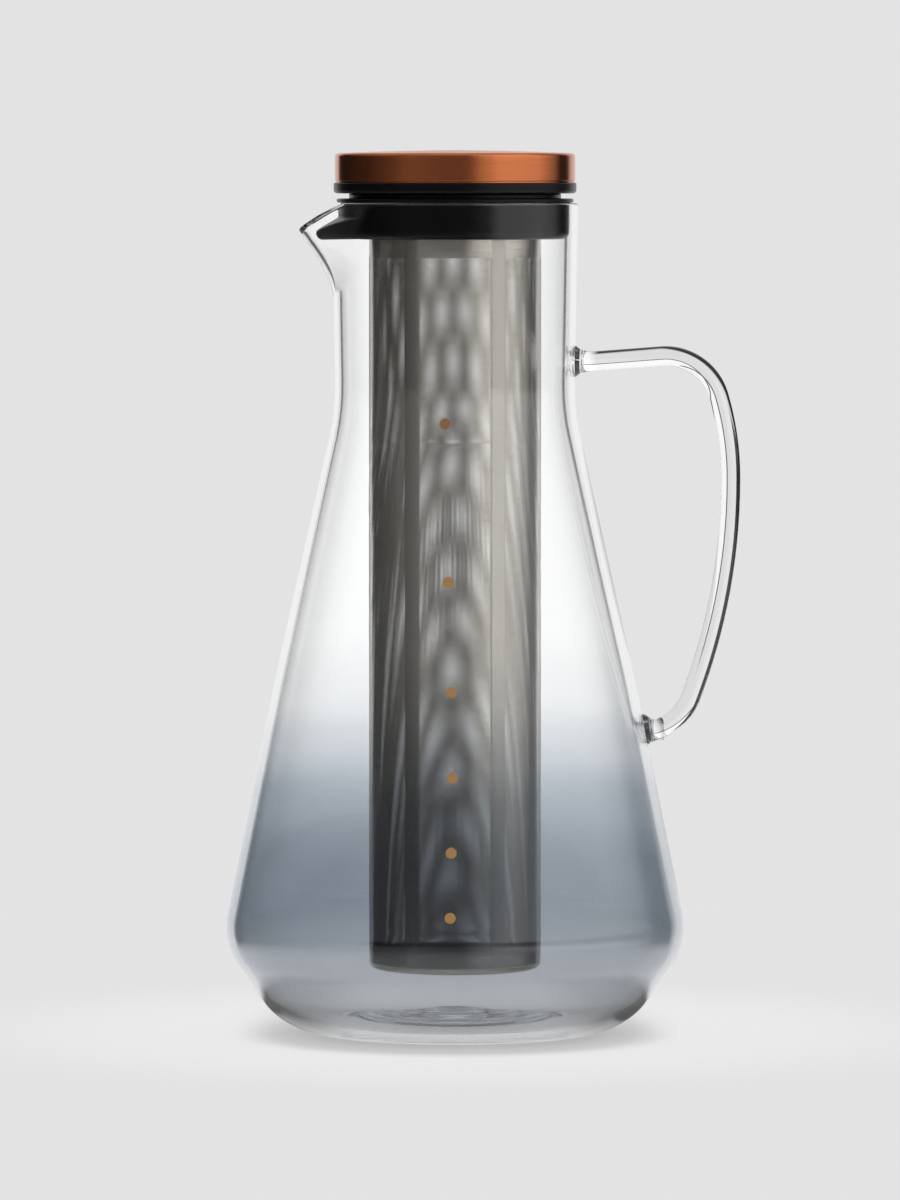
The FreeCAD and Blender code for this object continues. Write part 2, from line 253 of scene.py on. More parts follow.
# %% Shape the mirrored ring by height
band_top, band_foot, band_right = (-0.03, 0.05), (-0.07, -0.15), (0.5, 0.8)
band_levels, level_off_band = (0.05, 0.4), 1.1
sheet_edge, side_edge, left_edge = (2.35, 2.5), (1.0, 1.4), (-1.0, -1.4)
high_edge, high_level = (0.3, 0.5), 0.4
low_edge, low_level = (-0.2, -0.35), 0.1
ceiling_edge, floor_edge, closing_level = (0.66, 0.86), (-0.6, -0.8), 0.8

up = axes.outputs["Z"]
from_front = calculate("ABSOLUTE", azimuth)
off_band = calculate("MAXIMUM", fade(up, *band_top), fade(up, *band_foot))
full = calculate("MAXIMUM", off_band, fade(from_front, *sheet_edge))
in_band = fade(azimuth, *band_right, *band_levels)
gain = calculate("SUBTRACT", level_off_band, in_band)
dimming = calculate("MULTIPLY_ADD", full, gain, in_band)
mirrored = blend_colours(1.0, mirrored, dimming, "MULTIPLY")
high_up, low_down = fade(up, *high_edge), fade(up, *low_edge)
high_side = calculate("MULTIPLY", fade(from_front, *side_edge), high_up)
mirrored = blend_colours(high_side, mirrored, grey(high_level), "LIGHTEN")
low_left = calculate("MULTIPLY", fade(azimuth, *left_edge), low_down)
mirrored = blend_colours(low_left, mirrored, grey(low_level))
for closing_edge in (ceiling_edge, floor_edge):
    mirrored = blend_colours(fade(up, *closing_edge), mirrored, grey(closing_level))
print("mirrored ring: at the horizon", band_levels, "of its level from left to right")

# %% Shape the bent ring by height
gap_foot, gap_top, gap_level = (0.15, 0.165), (0.20, 0.215), 0.2
over_gap, ceiling_edge, over_level = (0.20, 0.23), (0.5, 0.6), 1.35
paper_edge, paper_level = (-0.11, -0.15), 1.0

is_bright = calculate("GREATER_THAN", bent, 0.5)
gap = calculate("MULTIPLY", fade(up, *gap_foot), fade(up, *gap_top, 1.0, 0.0))
bent = blend_colours(calculate("MULTIPLY", gap, is_bright), bent, grey(gap_level))
overhead = calculate("MULTIPLY", fade(up, *over_gap), is_bright)
overhead = calculate("MAXIMUM", overhead, fade(up, *ceiling_edge))
bent = blend_colours(overhead, bent, grey(over_level))
bent = blend_colours(fade(up, *paper_edge), bent, grey(paper_level))
print("bent ring: grey gap from height", gap_foot[0], "to", gap_top[1])

# %% [markdown]
# ## One world for four kinds of ray
#
# A ray that was mirrored on its way has a Glossy Depth and takes the first ring, and one
# that glass only bent takes the second. Everything matt is lit by an even white, a little
# stronger from behind, and the camera sees the grey of the page.

# %% Choose by the kind of ray
half_bounce = 0.5
matt_edge, matt_levels = (-0.5, 0.7), (0.8, 1.3)
ray = add_node(tree, "LightPath")
was_mirrored = calculate("GREATER_THAN", ray.outputs["Glossy Depth"], half_bounce)
lights_matt = calculate("GREATER_THAN", ray.outputs["Diffuse Depth"], half_bounce)
seen = blend_colours(was_mirrored, bent, mirrored)
even_white = fade(axes.outputs["Y"], *matt_edge, *matt_levels)
seen = blend_colours(lights_matt, seen, even_white)
seen = blend_colours(ray.outputs["Is Camera Ray"], seen, grey(page_grey))
background = add_node(tree, "Background", {"Strength": 1.0})
link(seen, background.inputs["Color"])
output = add_node(tree, "OutputWorld")
link(background.outputs[0], output.inputs["Surface"])
print("world nodes:", len(tree.nodes))

# %% [markdown]
# ## The table
#
# The jug stands on a sheet of the same pale grey as the page. A round disc is enough,
# because its outer part only glows at the page's own level, so that no edge shows.

# %% Model the table
table_radius = 900.0
table_fade_start = 250.0
table_fade_end = 520.0
table_drop = 0.2


def start_fresh():
    """Leaves edit mode and clears the selection, so that an operator touches only the new piece."""
    if bpy.context.object and bpy.context.object.mode == "EDIT":
        bpy.ops.object.mode_set(mode="OBJECT")
    bpy.ops.object.select_all(action="DESELECT")


start_fresh()
bpy.ops.mesh.primitive_circle_add(
    vertices=96, radius=table_radius * MM, fill_type="NGON", location=(0, 0, -table_drop * MM))
table = bpy.context.object
table.name = "table"
bpy.ops.object.mode_set(mode="EDIT")
bpy.ops.mesh.inset(thickness=(table_radius - table_fade_end) * MM)
bpy.ops.object.mode_set(mode="OBJECT")
bpy.ops.object.transform_apply(location=True)
print("table:", len(table.data.polygons), "faces")

# %% [markdown]
# ## Paper with a glow
#
# The paper is a matt sheet, which takes the jug's shadow, mixed with a plain glow. The
# camera sees the glow at the page's level, with a painted pool of light next to the jug.
# Rays that glass bends see it white. Mirrored rays see a painted reflection instead: a
# bright strip under the middle, painted dark bands beside it, where a studio would set black
# cards, which draw the edge of the foot, and bright paper again beyond them.

# %% Level of the glow
painted_halo_edge, painted_halo_gain = mm(80, 190), 0.07
# A painted reflection for mirrored rays: a bright strip, dark bands beside the foot and a bright
# ring beyond.
strip_edge, strip_levels = mm(28, 57), (0.95, 0.15)
reflection_ring_edge, reflection_ring_levels = mm(70, 82), (0.0, 0.9)


def new_material(name):
    """An empty material, its tree and the socket that takes its shader."""
    material = bpy.data.materials.new(name)
    material.use_nodes = True
    material.node_tree.nodes.clear()
    output = add_node(material.node_tree, "OutputMaterial")
    return material, material.node_tree, output.inputs["Surface"]


def paint(material, *pieces):
    """Gives pieces one material in place of any that they have."""
    for piece in pieces:
        piece.data.materials.clear()
        piece.data.materials.append(material)


def length_of(vector):
    """The length of a vector."""
    node = add_node(tree_of(vector), "VectorMath", operation="LENGTH")
    link(vector, node.inputs[0])
    return node.outputs["Value"]


paper, tree, surface = new_material("paper")
place, axes = split_place(tree)
far = length_of(place.outputs["Object"])
ray = add_node(tree, "LightPath")
was_mirrored = calculate("GREATER_THAN", ray.outputs["Glossy Depth"], half_bounce)
# Mirrored rays see painted bands in place of the paper.
beside = calculate("ABSOLUTE", axes.outputs["X"])
strip = fade(beside, *strip_edge, *strip_levels)
painted_reflection = calculate("MAXIMUM", strip, fade(far, *reflection_ring_edge, *reflection_ring_levels))
level = blend_colours(was_mirrored, grey(1.0), painted_reflection)
# Painted pool of light: to the camera the paper is a little brighter next to the jug.
painted_halo = fade(far, *painted_halo_edge, page_grey + painted_halo_gain, page_grey)
level = blend_colours(ray.outputs["Is Camera Ray"], level, painted_halo)
glow = add_node(tree, "Emission", {"Strength": 1.0})
link(level, glow.inputs["Color"])
print("glow from %.2f beside the jug to %.2f" % (page_grey + painted_halo_gain, page_grey))

# %% [markdown]
# ## Paper with a shadow
#
# Glass throws a pale shadow that is strongest around its foot. The shadow is traced on the
# matt sheet, but its reach is painted: the matt sheet has its largest share in an oval that
# starts just in front of the jug and reaches further behind it than in front, and outside
# it the glow covers the shadow. Bent and mirrored rays see little of it, and far out only
# the glow is left. For mirrored rays the paper ends in between, so that metal shows the walls.

# %% Mix sheet and glow
shadow_edge, glow_shares = mm(53, 70), (0.46, 0.93)
shadow_shift, shadow_squeeze = 10, 0.3
indirect_share = 0.85
paper_end = mm(110, 230)

# Painted shadow shape: the oval is shifted forwards and stretched behind the jug.
depth = calculate("ADD", axes.outputs["Y"], shadow_shift * MM)
depth = calculate("MINIMUM", depth, calculate("MULTIPLY", depth, shadow_squeeze))
painted_shadow_oval = add_node(tree, "CombineXYZ")
link(axes.outputs["X"], painted_shadow_oval.inputs["X"])
link(depth, painted_shadow_oval.inputs["Y"])
share = fade(length_of(painted_shadow_oval.outputs[0]), *shadow_edge, *glow_shares)
indirect = calculate("MAXIMUM", ray.outputs["Is Glossy Ray"], ray.outputs["Is Transmission Ray"])
share = calculate("MAXIMUM", share, calculate("MULTIPLY", indirect, indirect_share))
far_out = fade(far, table_fade_start * MM, table_fade_end * MM)
share = calculate("MAXIMUM", share, far_out)
matt = add_node(tree, "BsdfDiffuse", {"Color": (*grey(page_grey), 1.0)})
sheet_and_glow = mix_shaders(share, matt, glow)
gone = calculate("MULTIPLY", was_mirrored, fade(far, *paper_end))
clear = add_node(tree, "BsdfTransparent")
link(mix_shaders(gone, sheet_and_glow, clear).outputs[0], surface)
paint(paper, table)
print("paper nodes:", len(tree.nodes))

# %% [markdown]
# ## Drawing a line with true arcs
#
# Nearly everything here is turned about one axis, and the handle is a bent rod. Both come
# from one move: what is selected in edit mode is pulled along straight runs with Extrude
# and around each rounded corner with Spin. Pull a single vertex and it leaves the outline
# of a turned piece. Pull a ring and it leaves a rod.
#
# A short step before and after each arc holds the shading of the long runs straight.

# %% Helper: pull the selection along a line
hold_step = 1.0
same_point = 1e-6


def pull_by(run):
    """Extrudes what is selected by a run in millimetres in the XZ plane."""
    shift = (run.x * MM, 0, run.y * MM)
    bpy.ops.mesh.extrude_region_move(TRANSFORM_OT_translate={"value": shift})


def pull_straight(start, end, hold_start, hold_end):
    """Pulls along one run, with a short step at each end that is to be held."""
    run = end - start
    if run.length < same_point:
        return
    step = min(hold_step, run.length / 4)
    ahead = run.normalized()
    if hold_start:
        pull_by(ahead * step)
        run -= ahead * step
    if hold_end:
        pull_by(run - ahead * step)
        run = ahead * step
    pull_by(run)


def pull_line(corners, facet=6.0, hold=True):
    """Pulls the selection from the first (x, z, rounding) corner to the last one."""
    points = [Vector(corner[:2]) for corner in corners]
    here = points[0]
    after_arc = False
    for index in range(1, len(points)):
        corner = points[index]
        rounding = corners[index][2]
        if rounding == 0 or index == len(points) - 1:
            pull_straight(here, corner, after_arc, False)
            here, after_arc = corner, False
            continue
        back = (points[index - 1] - corner).normalized()
        ahead = (points[index + 1] - corner).normalized()
        turn = math.pi - back.angle(ahead)
        left = -1 if back.cross(ahead) > 0 else 1
        reach = rounding * math.tan(turn / 2)
        entry, leave = corner + back * reach, corner + ahead * reach
        pull_straight(here, entry, after_arc, hold)
        centre = entry + Vector((back.y, -back.x)) * left * rounding
        steps = max(2, math.ceil(math.degrees(turn) / facet))
        bpy.ops.mesh.spin(
            steps=steps, angle=left * turn,
            center=(centre.x * MM, 0, centre.y * MM), axis=(0, 1, 0))
        here, after_arc = leave, hold


print("line helper ready, hold step", hold_step, "mm")

# %% Helper: turn a piece about the upright axis
def start_outline(name, x, z):
    """A new mesh in edit mode with one selected vertex, made from a plane merged to a point."""
    start_fresh()
    bpy.ops.mesh.primitive_plane_add(size=MM, location=(0, 0, 0))
    piece = bpy.context.object
    piece.name = name
    bpy.ops.object.mode_set(mode="EDIT")
    bpy.ops.mesh.select_mode(type="VERT")
    bpy.ops.mesh.merge(type="CENTER")
    bpy.ops.transform.translate(value=(x * MM, 0, z * MM))
    return piece


def tidy_shell(smooth_angle=40.0):
    """Merges seams and poles, points the faces outwards and shades the piece."""
    bpy.ops.mesh.select_all(action="SELECT")
    bpy.ops.mesh.remove_doubles(threshold=same_point)
    bpy.ops.mesh.normals_make_consistent(inside=False)
    bpy.ops.object.mode_set(mode="OBJECT")
    bpy.ops.object.shade_smooth_by_angle(angle=math.radians(smooth_angle))


def close_line(corners):
    """The line that starts and ends in the middle of the side before the first corner."""
    (x0, z0, _), (x1, z1, _) = corners[-1], corners[0]
    middle = ((x0 + x1) / 2, (z0 + z1) / 2, 0)
    return [middle, *corners, middle]


def turned_piece(name, corners, closed=True, facet=15.0, sectors=((180, 360.0),)):
    """A turned piece; sectors are (steps, degrees) that add up to a full turn."""
    line = close_line(corners) if closed else corners
    piece = start_outline(name, line[0][0], line[0][1])
    pull_line(line, facet)
    bpy.ops.mesh.select_all(action="SELECT")
    bpy.ops.mesh.remove_doubles(threshold=same_point)
    for steps, angle in sectors:
        bpy.ops.mesh.spin(steps=steps, angle=math.radians(angle), center=(0, 0, 0), axis=(0, 0, 1))
    tidy_shell()
    print("%s: %d faces" % (name, len(piece.data.polygons)))
    return piece


def place_piece(piece, body, slot, *nodes):
    """The piece rides on its body and stands for CAD nodes, which are hidden; slot is not used."""
    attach(piece, body)
    if nodes:
        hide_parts(*nodes)


def read_ring(node):
    """Outer radius, lowest and highest point of a turned CAD piece, in millimetres."""
    low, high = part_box(node)
    return high.x / MM, low.z / MM, high.z / MM


print("turning helpers ready")

# %% [markdown]
# ## The jug's wall
#
# The real jug is blown into a mould, so inside and outside run side by side at one wall
# thickness, and the base is a little thicker where the glass settled. One outline holds
# both surfaces: up the outside, over the fire-rounded rim and down the inside. Turning it
# gives a single closed skin, which is what a glass shader needs to bend light correctly.

# %% Outline of the jug
rim_height = read_ring("carafe_body")[2]
glass_wall = 2.3
foot = (52.3, 0.0, 25.0)
shoulder = (71.65, 27.5, 21.8)
waist = (55.3, 107.5, 500.0)
neck = (36.55, 191.0, 70.0)
rim = (37.6, rim_height, 0.6)
hollow = [(0, 3.0, 0), (28.0, 1.6, 60.0), (35.5, 0.0, 20.0)]
floor_height = 2.6
floor_dome = [
    (31.0, 2.7, 5.0), (27.0, 4.6, 3.5), (23.0, 3.1, 3.5), (18.0, 6.8, 4.0), (13.5, 4.8, 3.5),
    (8.0, 8.0, 5.0), (0, 6.4, 0)]
weld_heights = (92.5, 205.6)
weld_rows = (-5.9, -2, 2, 5.9)
spout_start = 223.0
spout_row = 2.2
rim_row = 3.0


def moved_inwards(corners, distance):
    """The outline moved sideways by a wall thickness, with its roundings to suit."""
    lines = []
    for (x0, z0, _), (x1, z1, _) in zip(corners, corners[1:]):
        length = math.hypot(x1 - x0, z1 - z0)
        shift = Vector((-(z1 - z0), x1 - x0)) / length * distance
        lines.append((Vector((x0, z0)) + shift, Vector((x1 - x0, z1 - z0))))
    moved = [(*lines[0][0], 0)]
    for (a, along_a), (b, along_b), corner in zip(lines, lines[1:], corners[1:]):
        cross = along_a.cross(along_b)
        share = (b - a).cross(along_b) / cross
        moved.append((*(a + along_a * share), corner[2] - math.copysign(distance, cross)))
    last, along = lines[-1]
    moved.append((*(last + along), 0))
    return moved


def radius_at(corners, height):
    """Radius of the sloping outline at a height."""
    for (x0, z0, _), (x1, z1, _) in zip(corners, corners[1:]):
        if z0 <= height <= z1:
            return x0 + (x1 - x0) * (height - z0) / (z1 - z0)
    return corners[-1][0]


outside = [foot, shoulder, waist, neck, rim]
inside = moved_inwards(outside, glass_wall)
print("inside corners:", [tuple(round(v, 2) for v in corner) for corner in inside])

# %% Add rows where the spout and the welds need them
def rows_between(corners, heights):
    """Plain points on the outline at the given heights."""
    return [(radius_at(corners, height), height, 0) for height in heights]


spout_heights = []
height = spout_start
while height < rim_height - rim_row:
    spout_heights.append(height)
    height += spout_row
lower_weld, upper_weld = ([middle + row for row in weld_rows] for middle in weld_heights)


def wall_line(corners):
    """The wall from shoulder to rim with its extra rows."""
    low = rows_between(corners, lower_weld)
    high = rows_between(corners, upper_weld + spout_heights)
    return [corners[1], *low, corners[2], corners[3], *high]


inner_foot = (radius_at(inside[:2], floor_height), floor_height, foot[2] - glass_wall)
inner_rim = (inside[-1][0], rim_height, rim[2])
jug_line = [*hollow, foot, *wall_line(outside), rim, inner_rim]
jug_line += [*reversed(wall_line(inside)), inner_foot, *floor_dome]
print("jug outline:", len(jug_line), "corners")

# %% Turn the jug
spout_half_sector = 50.0
coarse_sector = 180 - spout_half_sector
jug_sectors = ((65, coarse_sector), (100, 2 * spout_half_sector), (65, coarse_sector))
jug = turned_piece("glass_jug", jug_line, closed=False, facet=4.0, sectors=jug_sectors)

# %% [markdown]
# ## The spout
#
# The glassblower heats one side of the rim and draws it outwards over a rod, so the wall
# keeps its thickness, the sides run straight from the neck to a small round nose, and the
# lip droops. Both surfaces of the wall are moved by the same rule here: at each height the
# wall follows the line that wraps the neck's circle and the circle of the nose.

# %% Shape of the spout
spout_length = 24.5
spout_tip_height = 248.5
spout_reach = 50.2
spout_nose_radius = 6.5
spout_root_radius = 28.0
spout_flare = 1.65
spout_sharpening = 0.7
lip_start = 34.5
lip_slope = math.tan(math.radians(21.5))


def wrapped_radius(neck_radius, reach, nose_radius, angle):
    """Distance from the axis to the line around both circles, at an angle from the nose."""
    nose_centre = reach - nose_radius
    lean = math.acos(min(1, (neck_radius - nose_radius) / nose_centre))
    touch = math.atan2(nose_radius * math.sin(lean), nose_centre + nose_radius * math.cos(lean))
    if angle >= lean:
        return neck_radius
    if angle > touch:
        return neck_radius / math.cos(lean - angle)
    across = nose_centre * math.sin(angle)
    return nose_centre * math.cos(angle) + math.sqrt(nose_radius ** 2 - across ** 2)


def spout_radius(neck_radius, height, angle, inset):
    """Radius of a wall surface in the spout, at a height and an angle from the nose."""
    rise = (height - (spout_tip_height - spout_length)) / spout_length
    if rise <= 0:
        return neck_radius
    reach = neck_radius + (spout_reach - inset - neck_radius) * rise ** spout_flare
    sharp = min(rise, 1) ** spout_sharpening
    nose = spout_root_radius + (spout_nose_radius - spout_root_radius) * sharp - inset
    return max(neck_radius, wrapped_radius(neck_radius, reach, nose, angle))


print("spout tip at", round(spout_radius(rim[0], spout_tip_height, 0, 0), 2), "mm from the axis")

# %% Draw the spout out of the rim
lip_bottom = spout_tip_height - spout_length
pole_radius = 1
sector_margin = 2


def spout_place(vertex):
    """A vertex in millimetres, its distance from the axis and its angle from the nose."""
    x, y, z = (value / MM for value in vertex.co)
    return x, y, z, math.hypot(x, y), math.atan2(abs(y), -x)


moved = 0
for vertex in jug.data.vertices:
    x, y, z, radius, angle = spout_place(vertex)
    in_sector = angle <= math.radians(spout_half_sector + sector_margin)
    if z <= lip_bottom or radius < pole_radius or not in_sector:
        continue
    outer, inner = radius_at(outside, z), radius_at(outside, z) - glass_wall
    depth = min(1, max(0, (radius - inner) / (outer - inner)))
    top = spout_radius(outer, rim_height, angle, 0) * math.cos(angle)
    lip = rim_height - max(0, top - lip_start) * lip_slope
    height = lip_bottom + (z - lip_bottom) * (lip - lip_bottom) / (rim_height - lip_bottom)
    new_outer = spout_radius(outer, height, angle, 0)
    new_inner = spout_radius(inner, height, angle, glass_wall)
    scale = (new_inner + (new_outer - new_inner) * depth) / radius
    vertex.co = Vector((x * scale, y * scale, height)) * MM
    moved += 1
print("spout vertices moved:", moved, "of", len(jug.data.vertices))

# %% [markdown]
# ## The handle
#
# The handle is a glass rod, bent hot in one plane and melted onto the jug, where each end
# spreads into a little foot. A ring is pulled through the bends, and rings near both ends
# are scaled up for the feet. A Boolean union then makes rod and jug one skin, because two
# glass skins that overlap would show a seam inside the weld.

# %% Pull the rod
rod_radius = 3.05
weld_depth = 1.2
upper_start = radius_at(outside, weld_heights[1]) - weld_depth
lower_end = radius_at(outside, weld_heights[0]) - weld_depth
foot_stations = [(0, 5.0), (1.1, 4.9), (1.8, 4.5), (2.8, 3.7), (4.4, 3.25), (6.8, rod_radius)]
foot_length = foot_stations[-1][0]
handle_line = [
    (upper_start + foot_length, weld_heights[1], 0),
    (76.8, weld_heights[1] + 2.6, 17.0),
    (84.3, weld_heights[1] - 23.0, 88.0),
    (84.3, weld_heights[0] + 43.4, 187.0),
    (68.6, weld_heights[0] + 0.4, 17.0),
    (lower_end + foot_length, weld_heights[0], 0),
]


def pull_foot(x, z, stations):
    """Pulls the selected ring along X through (distance, radius) stations, scaled at each."""
    for (start, old_radius), (end, new_radius) in zip(stations, stations[1:]):
        x += end - start
        pull_by(Vector((end - start, 0)))
        factors = [new_radius / old_radius] * 3
        bpy.ops.transform.resize(value=factors, center_override=(x * MM, 0, z * MM))


start_fresh()
bpy.ops.mesh.primitive_circle_add(
    vertices=48, radius=foot_stations[0][1] * MM, fill_type="NOTHING",
    location=(upper_start * MM, 0, weld_heights[1] * MM), rotation=(0, math.radians(90), 0))
rod = bpy.context.object
rod.name = "handle_rod"
bpy.ops.object.transform_apply(location=True, rotation=True)
bpy.ops.object.mode_set(mode="EDIT")
pull_foot(upper_start, weld_heights[1], foot_stations)
pull_line(handle_line, facet=1.5, hold=False)
pull_foot(lower_end + foot_length, weld_heights[0], foot_stations[::-1])
bpy.ops.mesh.select_all(action="SELECT")
bpy.ops.mesh.remove_doubles(threshold=same_point)
bpy.ops.mesh.fill_holes(sides=0)
bpy.ops.mesh.select_all(action="SELECT")
bpy.ops.mesh.normals_make_consistent(inside=False)
bpy.ops.object.mode_set(mode="OBJECT")
print("rod:", len(rod.data.polygons), "faces, box", [round(v / MM, 1) for v in rod.dimensions])

# %% Melt the rod onto the jug
start_fresh()
bpy.context.view_layer.objects.active = jug
jug.select_set(True)
bpy.ops.object.modifier_add(type="BOOLEAN")
union = jug.modifiers[-1]
union.operation = "UNION"
union.solver = "MANIFOLD"
union.object = rod
bpy.ops.object.modifier_apply(modifier=union.name)
bpy.data.objects.remove(rod)
bpy.ops.object.mode_set(mode="EDIT")
tidy_shell(smooth_angle=55.0)
place_piece(jug, "carafe", "tinted_glass", "carafe_body", "carafe_handle")
print("glass jug with handle:", len(jug.data.polygons), "faces")

# %% [markdown]
# ## Glass that is clear above and smoky below
#
# The tint is a thin coat. It is darkest just above the shoulder and fades out upwards.
# In the foot the ramp turns lighter again, and that part is painted light, standing in
# for the bright paper that the foot shows. It could be painted on as a picture, but a
# Color Ramp over the height is enough and stays smooth at every distance.

# %% Tint by height
# Below the shoulder the stops turn lighter again: painted light for the bright paper seen in the
# foot.
tint_and_foot_light_by_height = [
    (0, (0.69, 0.70, 0.71)), (10, (0.63, 0.65, 0.67)), (17, (0.62, 0.642, 0.67)),
    (25, (0.545, 0.57, 0.605)), (36, (0.455, 0.495, 0.54)), (52, (0.485, 0.52, 0.565)),
    (72, (0.60, 0.64, 0.68)), (88, (0.80, 0.82, 0.845)), (103, (0.93, 0.94, 0.945)),
    (125, (0.985, 0.987, 0.988)), (270, (0.985, 0.987, 0.988)),
]

tinted_glass, tree, surface = new_material("tinted_glass")
place, axes = split_place(tree)
ramp_height = tint_and_foot_light_by_height[-1][0]
share = calculate("DIVIDE", axes.outputs["Z"], ramp_height * MM)
stops = [(z / ramp_height, colour) for z, colour in tint_and_foot_light_by_height]
tint_and_foot_light = colour_ramp(share, stops, "EASE")
print("tint drawn with", len(tint_and_foot_light_by_height), "stops")

# %% [markdown]
# ## Painted dark edges on the rod and the foot
#
# Along its outer upper side the rod's colour turns black, and the thick foot's colour
# darkens along its edge: painted shade, standing in for the dark of the studio that solid
# glass bends into view. The melted welds stay clear. How far a point lies outside the cone
# of the wall tells wall, weld and rod apart. The edges are found by the normal and by
# Facing, so they follow the shape and not a drawn line.

# %% Colour of wall, welds and rod, with painted dark edges
weld_edge, rod_edge = mm(0.6, 1.8), mm(2.6, 6.0)
neck_play = 0.1
outer_upper_side = (0.62, 0, 0.79)
side_edge, side_facing = (0.5, 0.62), (0.13, 0.22)
foot_top, foot_facing = mm(16, 7), (0.45, 0.85)
weld_level, rod_level, painted_foot_shade = 0.97, 0.74, 0.38

slope = (waist[0] - neck[0]) / (neck[1] - waist[1])
cone_top = (waist[0] + slope * waist[1]) * MM
cone = calculate("MULTIPLY_ADD", axes.outputs["Z"], -slope, cone_top)
wall_here = calculate("MAXIMUM", cone, (rim[0] + neck_play) * MM)
beyond_wall = calculate("SUBTRACT", axes.outputs["X"], wall_here)
outwards = add_node(tree, "VectorMath", {1: outer_upper_side}, operation="DOT_PRODUCT")
link(place.outputs["Normal"], outwards.inputs[0])
facing = add_node(tree, "LayerWeight", {"Blend": 0.5}).outputs["Facing"]
on_side = fade(outwards.outputs["Value"], *side_edge)
painted_rod_edge = calculate("MULTIPLY", on_side, fade(facing, *side_facing))
in_foot = fade(axes.outputs["Z"], *foot_top)
# Painted shade: the foot's colour darkens where it is seen edge-on.
painted_foot_edge = calculate("MULTIPLY", fade(facing, *foot_facing), in_foot)
wall_tint_and_shade = blend_colours(painted_foot_edge, tint_and_foot_light, grey(painted_foot_shade))
weld_share = fade(beyond_wall, *weld_edge)
weld_tint_and_shade = blend_colours(weld_share, wall_tint_and_shade, grey(weld_level))
# Painted shade: the rod turns black along its outer upper edge.
rod_tint_and_shade = blend_colours(painted_rod_edge, grey(rod_level), grey(0.0))
glass_tint_and_shade = blend_colours(fade(beyond_wall, *rod_edge), weld_tint_and_shade, rod_tint_and_shade)
print("the wall's cone narrows by %.3f mm per mm of height" % slope)

# %% [markdown]
# ## The glass itself
#
# A Principled shader with full transmission bends and reflects the light. Shadow rays take
# a tinted Transparent shader instead, because light that is bent by glass finds no lamp.

# %% Glass shader
glass = add_node(tree, "BsdfPrincipled", {
    "Roughness": 0.0, "IOR": 1.47, "Transmission Weight": 1.0})
link(glass_tint_and_shade, glass.inputs["Base Color"])
shade = add_node(tree, "BsdfTransparent")
link(tint_and_foot_light, shade.inputs["Color"])
ray = add_node(tree, "LightPath")
link(mix_shaders(ray.outputs["Is Shadow Ray"], glass, shade).outputs[0], surface)
paint(tinted_glass, jug)
print("glass nodes:", len(tree.nodes))

# %% [markdown]
# ## The neck collar
#
# A soft black ring plugs the neck. Its flange rests on the glass rim, its web carries the
# filter and its lip takes the lid. It is moulded silicone, so every edge is rounded, and
# the turned outline gets a radius at each corner instead of a sharp turn.

# %% Turn the collar
flange_radius, collar_bottom, collar_top = read_ring("neck_collar")
screen_radius, screen_bottom, screen_top = read_ring("filter_screen")
fit_play, hole_play = 0.15, 0.05
collar_fit = radius_at(outside, collar_bottom) - glass_wall - fit_play
collar_hole = screen_radius + hole_play
collar_lip_radius = 32.4
collar_bore = 30.5
flange_foot, flange_top = rim_height + 0.1, rim_height + 1.3
first_row, row_step, row_count = 2.5, 0.35, 16
tongue_rows = [
    (collar_fit, collar_bottom + first_row + row_step * row, 0) for row in range(row_count)]
collar = turned_piece("neck_collar_soft", [
    (collar_hole, collar_bottom, 0.3),
    (collar_fit, collar_bottom, 2.4),
    *tongue_rows,
    (collar_fit, flange_foot, 0.15),
    (flange_radius, flange_foot, 0.45),
    (flange_radius, flange_top, 0.45),
    (collar_lip_radius, flange_top, 0.3),
    (collar_lip_radius, collar_top, 0.4),
    (collar_bore, collar_top, 0.4),
    (collar_bore, screen_top, 0.3),
    (collar_hole, screen_top, 0.3),
], sectors=jug_sectors)

# %% [markdown]
# ## The collar's tongue
#
# On the spout side the collar reaches out and closes the channel. The tongue follows the
# same rule as the spout, less the wall and a clearance, and its own rounded profile limits
# it where the channel runs on.

# %% Draw the tongue into the spout
tongue_reach = 41.8
tongue_rise = 6.6
tongue_side = 2.9
tongue_softness = 0.6
tongue_lowest = 1.2
tongue_inset = glass_wall + 1.0
lip_margin = 0.2


def tongue_profile(height):
    """Reach of the tongue's rounded side and sloping top at a height above its foot."""
    slope = (tongue_reach - collar_fit) / (tongue_rise - tongue_side)
    sloping = tongue_reach - (height - tongue_side) * slope
    blend = math.exp(-tongue_reach / tongue_softness) + math.exp(-sloping / tongue_softness)
    return max(collar_fit, -tongue_softness * math.log(blend))


stretched = 0
for vertex in collar.data.vertices:
    x, y, z, radius, angle = spout_place(vertex)
    height = max(z, collar_bottom + tongue_lowest)
    on_side = radius >= collar_lip_radius + lip_margin and z <= rim_height
    if not on_side or angle > math.radians(spout_half_sector):
        continue
    channel = spout_radius(collar_fit, height, angle, tongue_inset)
    reach = min(channel, tongue_profile(height - collar_bottom))
    if reach > collar_fit:
        scale = 1 + (reach - collar_fit) / radius
        vertex.co = Vector((x * scale, y * scale, z)) * MM
        stretched += 1
place_piece(collar, "filter", "black_silicone", "neck_collar")
print("tongue vertices:", stretched)

# %% [markdown]
# ## The filter
#
# The filter is a sheet of steel with thousands of tiny round holes, rolled into a tube.
# Plain upright strips divide the holes into six fields, and a plain band runs around each
# end. The tube is turned, and its fields are pressed in by a hair with Inset, as rolling
# the sheet leaves them.

